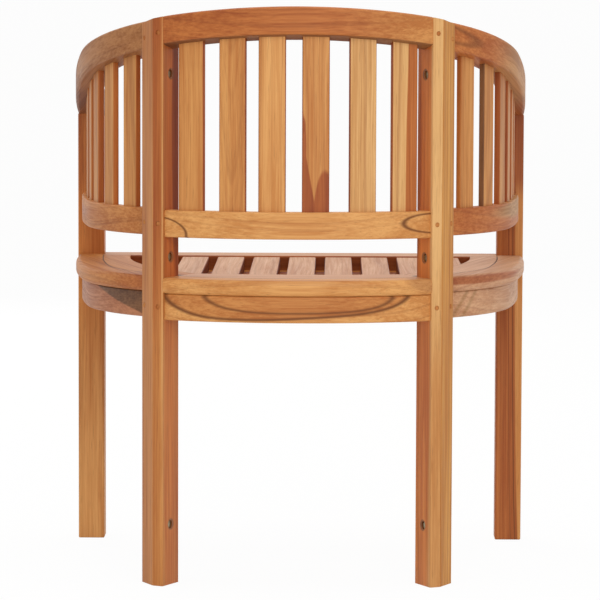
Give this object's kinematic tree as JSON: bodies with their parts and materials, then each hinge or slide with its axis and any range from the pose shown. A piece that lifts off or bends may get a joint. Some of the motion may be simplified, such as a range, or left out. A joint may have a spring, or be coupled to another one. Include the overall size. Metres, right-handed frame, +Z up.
{
  "type": "banana chair",
  "caption": "Teak garden armchair with a slatted back that curves round the seat and sweeps down into the arms.",
  "frame": {"origin": "on the floor, under the middle of the chair's box", "axes": "+Z up, the seat faces -Y, +X to the sitter's left"},
  "size_m": [0.6696, 0.5389, 0.8085],
  "materials": {
    "frame_wood": "sanded teak",
    "slat_wood": "sanded teak",
    "seat_wood": "sanded teak",
    "peg_wood": "end grain",
    "steel": "zinc plated",
    "brass": "plain"
  },
  "bodies": {
    "root": {"apron_front": "frame_wood", "apron_left": "frame_wood", "apron_rear": "frame_wood", "apron_right": "frame_wood", "arm_rail_left": "frame_wood", "arm_rail_right": "frame_wood", "back_leg_left": "frame_wood", "back_leg_right": "frame_wood", "back_slat_1": "slat_wood", "back_slat_2": "slat_wood", "back_slat_3": "slat_wood", "back_slat_4": "slat_wood", "back_slat_5": "slat_wood", "back_slat_6": "slat_wood", "frame_bolts": "steel", "front_leg_left": "frame_wood", "front_leg_right": "frame_wood", "lower_rail_center": "frame_wood", "lower_rail_left": "frame_wood", "lower_rail_right": "frame_wood", "seat_bearer_front": "frame_wood", "seat_bearer_middle": "frame_wood", "seat_bearer_rear": "frame_wood", "seat_border_left": "seat_wood", "seat_border_rear": "seat_wood", "seat_border_right": "seat_wood", "seat_frame_left": "seat_wood", "seat_frame_rear": "seat_wood", "seat_frame_right": "seat_wood", "seat_front_rail": "seat_wood", "seat_slat_1": "seat_wood", "seat_slat_2": "seat_wood", "seat_slat_3": "seat_wood", "seat_slat_4": "seat_wood", "seat_slat_5": "seat_wood", "seat_slat_6": "seat_wood", "seat_slat_7": "seat_wood", "seat_slat_8": "seat_wood", "seat_slat_9": "seat_wood", "side_leg_left": "frame_wood", "side_leg_right": "frame_wood", "side_slat_left_1": "slat_wood", "side_slat_left_2": "slat_wood", "side_slat_left_3": "slat_wood", "side_slat_left_4": "slat_wood", "side_slat_left_5": "slat_wood", "side_slat_left_6": "slat_wood", "side_slat_left_7": "slat_wood", "side_slat_right_1": "slat_wood", "side_slat_right_2": "slat_wood", "side_slat_right_3": "slat_wood", "side_slat_right_4": "slat_wood", "side_slat_right_5": "slat_wood", "side_slat_right_6": "slat_wood", "side_slat_right_7": "slat_wood", "slat_screws": "steel", "tenon_pegs": "peg_wood", "threaded_inserts": "brass", "top_rail_center": "frame_wood"}
  },
  "joints": []
}
